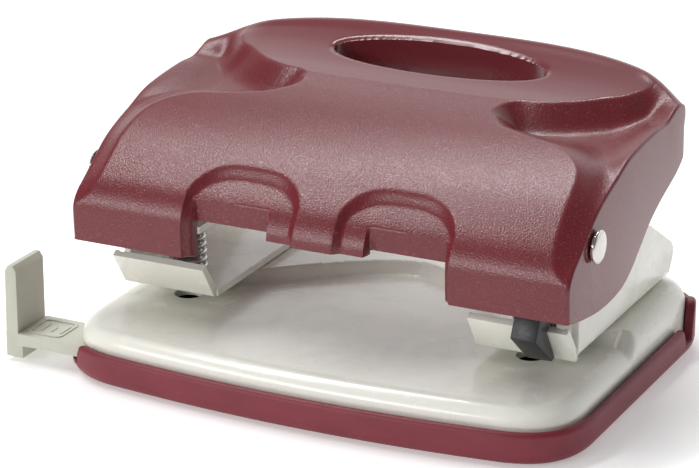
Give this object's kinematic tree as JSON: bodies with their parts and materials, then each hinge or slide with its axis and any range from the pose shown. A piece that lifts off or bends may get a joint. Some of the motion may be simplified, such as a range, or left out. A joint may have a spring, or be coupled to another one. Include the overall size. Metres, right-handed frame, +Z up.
{
  "type": "two-hole desk punch",
  "caption": "Desk punch with a wide moulded lever handle over sprung punch pins in sheet-steel brackets, on an enamelled base in a soft chip tray with a sliding paper gauge.",
  "frame": {"origin": "on the tray's flat underside, midway between the punches, in the plane of their axes", "axes": "+X to the right along the row of holes, +Y to the back, away from the paper, +Z up"},
  "size_m": [0.1307, 0.0889, 0.0613],
  "materials": {
    "handle_plastic": "fine spark-eroded texture, satin",
    "tray_plastic": "soft plastic, semi-matt",
    "cream_enamel": "glossy stoved enamel on steel sheet",
    "gauge_plastic": "matt moulded",
    "black_plastic": "satin moulded",
    "nickel_steel": "bright nickel plate",
    "spring_steel": "bright drawn",
    "tool_steel": "ground"
  },
  "bodies": {
    "tray": {"chip_tray": "tray_plastic"},
    "base": {"base_plate": "cream_enamel", "gauge_spring": "spring_steel", "left_bracket": "cream_enamel", "right_bracket": "cream_enamel", "left_return_spring": "spring_steel", "right_return_spring": "spring_steel", "left_inner_rivet": "nickel_steel", "right_inner_rivet": "nickel_steel", "left_outer_rivet": "nickel_steel", "right_outer_rivet": "nickel_steel"},
    "gauge": {"paper_gauge": "gauge_plastic"},
    "lock": {"lock_slider": "black_plastic"},
    "left_punch": {"left_punch_pin": "tool_steel", "left_retaining_clip": "spring_steel"},
    "right_punch": {"right_punch_pin": "tool_steel", "right_retaining_clip": "spring_steel"},
    "handle": {"handle_cover": "handle_plastic", "axle": "nickel_steel", "left_press_cam": "tool_steel", "right_press_cam": "tool_steel", "left_cam_screw": "nickel_steel", "right_cam_screw": "nickel_steel", "left_axle_cap": "nickel_steel", "right_axle_cap": "nickel_steel", "left_axle_washer": "nickel_steel", "right_axle_washer": "nickel_steel"}
  },
  "joints": [
    {"name": "tray_release", "type": "slide", "parent": "tray", "child": "base", "axis": [0, 0, 1], "range_m": [0, 0.02]},
    {"name": "handle_pivot", "type": "hinge", "parent": "base", "child": "handle", "pos_m": [0, -0.00765, 0.0404], "axis": [-1, 0, 0], "range_deg": [0, 28], "stiffness_Nm_per_rad": 0.5, "springref_deg": -28.65},
    {"name": "left_punch_slide", "type": "slide", "parent": "base", "child": "left_punch", "axis": [0, 0, -1], "range_m": [0, 0.0052], "deforming": ["left_return_spring"]},
    {"name": "right_punch_slide", "type": "slide", "parent": "base", "child": "right_punch", "axis": [0, 0, -1], "range_m": [0, 0.0052], "deforming": ["right_return_spring"]},
    {"name": "gauge_slide", "type": "slide", "parent": "base", "child": "gauge", "axis": [-1, 0, 0], "range_m": [-0.006, 0.0811]},
    {"name": "lock_slide", "type": "slide", "parent": "base", "child": "lock", "axis": [-1, 0, 0], "range_m": [0, 0.005]}
  ],
  "couplings": [
    {"joint": "left_punch_slide", "follows": "handle_pivot", "m_per_rad": 0.0105},
    {"joint": "right_punch_slide", "follows": "handle_pivot", "m_per_rad": 0.0105}
  ]
}
